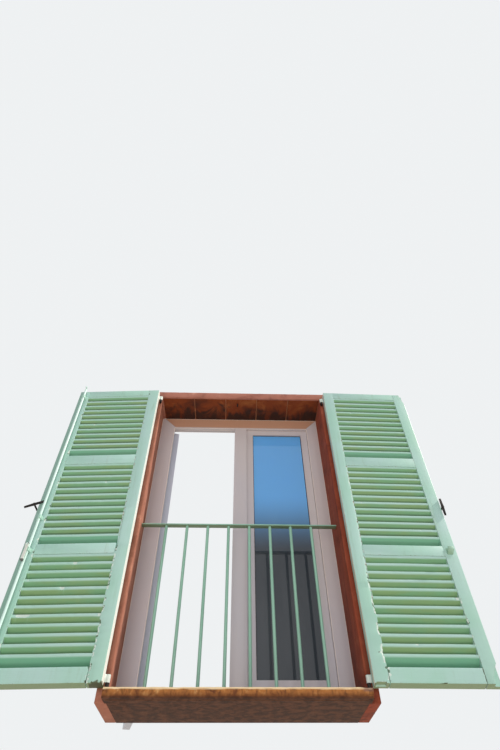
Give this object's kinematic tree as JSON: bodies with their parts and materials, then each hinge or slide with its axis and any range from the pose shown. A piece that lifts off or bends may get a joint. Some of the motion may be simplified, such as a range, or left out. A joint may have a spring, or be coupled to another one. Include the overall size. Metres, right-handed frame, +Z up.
{
  "type": "window shutters",
  "caption": "Pair of louvred timber window shutters on wall pintles, open beside their lined opening, with espagnolette bolt, wall dogs, guard rail and casement window.",
  "frame": {"origin": "middle of the opening, on the facade plane, on the sill's underside", "axes": "+X to the right seen from the street, +Y into the wall, +Z up"},
  "size_m": [2.7396, 0.9882, 2.241],
  "materials": {
    "shutter_paint": "satin mint green paint, chipped along the arrises",
    "slat_paint": "satin mint green paint, grimy below",
    "painted_iron": "brushed-on mint green paint",
    "bare_iron": "dull black, rusting",
    "guard_paint": "satin mint green paint",
    "window_aluminium": "pale grey-pink lacquer",
    "window_fittings": "satin",
    "window_glass": "clear",
    "sill_stone": "rough, weathered",
    "lining_render": "matt, streaked",
    "soffit_clay": "matt, stained"
  },
  "bodies": {
    "surround": {"sill": "sill_stone", "left_jamb": "lining_render", "right_jamb": "lining_render", "head": "lining_render", "soffit_tiles": "soffit_clay", "pintles": "painted_iron", "rod_strikes": "painted_iron", "dog_spikes": "bare_iron", "guard_top_bar": "guard_paint", "guard_bars": "guard_paint", "window_frame": "window_aluminium", "window_mullion": "window_aluminium", "window_hinge_pins": "window_fittings"},
    "left_leaf": {"left_hinge_stile": "shutter_paint", "left_meeting_stile": "shutter_paint", "left_bottom_rail": "shutter_paint", "left_lower_mid_rail": "shutter_paint", "left_upper_mid_rail": "shutter_paint", "left_top_rail": "shutter_paint", "left_slats_bottom": "slat_paint", "left_slats_middle": "slat_paint", "left_slats_top": "slat_paint", "left_straps": "painted_iron", "left_strap_bolts": "painted_iron", "rod_guides": "painted_iron"},
    "right_leaf": {"right_hinge_stile": "shutter_paint", "right_meeting_stile": "shutter_paint", "right_bottom_rail": "shutter_paint", "right_lower_mid_rail": "shutter_paint", "right_upper_mid_rail": "shutter_paint", "right_top_rail": "shutter_paint", "right_slats_bottom": "slat_paint", "right_slats_middle": "slat_paint", "right_slats_top": "slat_paint", "right_straps": "painted_iron", "right_strap_bolts": "painted_iron", "handle_keeper": "painted_iron"},
    "rod": {"espagnolette_rod": "painted_iron", "handle_pin": "painted_iron"},
    "handle": {"rod_handle": "painted_iron"},
    "left_dog": {"left_dog_bar": "bare_iron"},
    "right_dog": {"right_dog_bar": "bare_iron"},
    "left_sash": {"left_sash_frame": "window_aluminium", "left_sash_glass": "window_glass", "left_sash_beads": "window_aluminium", "left_sash_barrels": "window_fittings", "left_lever_rose": "window_fittings"},
    "right_sash": {"right_sash_frame": "window_aluminium", "right_sash_glass": "window_glass", "right_sash_beads": "window_aluminium", "right_sash_barrels": "window_fittings", "right_lever_rose": "window_fittings"},
    "left_window_lever": {"left_lever": "window_fittings"},
    "right_window_lever": {"right_lever": "window_fittings"}
  },
  "joints": [
    {"name": "left_leaf_swing", "type": "hinge", "parent": "surround", "child": "left_leaf", "pos_m": [-0.658, -0.019, 0], "axis": [0, 0, 1], "range_deg": [0, 183.2]},
    {"name": "right_leaf_swing", "type": "hinge", "parent": "surround", "child": "right_leaf", "pos_m": [0.658, -0.019, 0], "axis": [0, 0, -1], "range_deg": [0, 181.2]},
    {"name": "rod_turn", "type": "hinge", "parent": "left_leaf", "child": "rod", "pos_m": [-1.26702, -0.07409, 0], "axis": [0, 0, -1], "range_deg": [0, 90]},
    {"name": "handle_lift", "type": "hinge", "parent": "rod", "child": "handle", "pos_m": [-1.26853, -0.10105, 0.787], "axis": [-0.9984, 0.0558, 0], "range_deg": [0, 110]},
    {"name": "left_dog_turn", "type": "hinge", "parent": "surround", "child": "left_dog", "pos_m": [-1.338, -0.0575, 1.092], "axis": [0, 1, 0], "continuous": true},
    {"name": "right_dog_turn", "type": "hinge", "parent": "surround", "child": "right_dog", "pos_m": [1.3325, -0.0778, 1.092], "axis": [0, 1, 0], "continuous": true},
    {"name": "left_sash_swing", "type": "hinge", "parent": "surround", "child": "left_sash", "pos_m": [-0.578, 0.3405, 0], "axis": [0, 0, -1], "range_deg": [0, 105]},
    {"name": "right_sash_swing", "type": "hinge", "parent": "surround", "child": "right_sash", "pos_m": [0.578, 0.3405, 0], "axis": [0, 0, -1], "range_deg": [0, 105]},
    {"name": "left_lever_turn", "type": "hinge", "parent": "left_sash", "child": "left_window_lever", "pos_m": [-0.70262, 0.83458, 1], "axis": [-0.9659, -0.2588, 0], "range_deg": [0, 90]},
    {"name": "right_lever_turn", "type": "hinge", "parent": "right_sash", "child": "right_window_lever", "pos_m": [0.0685, 0.333, 1], "axis": [0, -1, 0], "range_deg": [0, 90]}
  ]
}
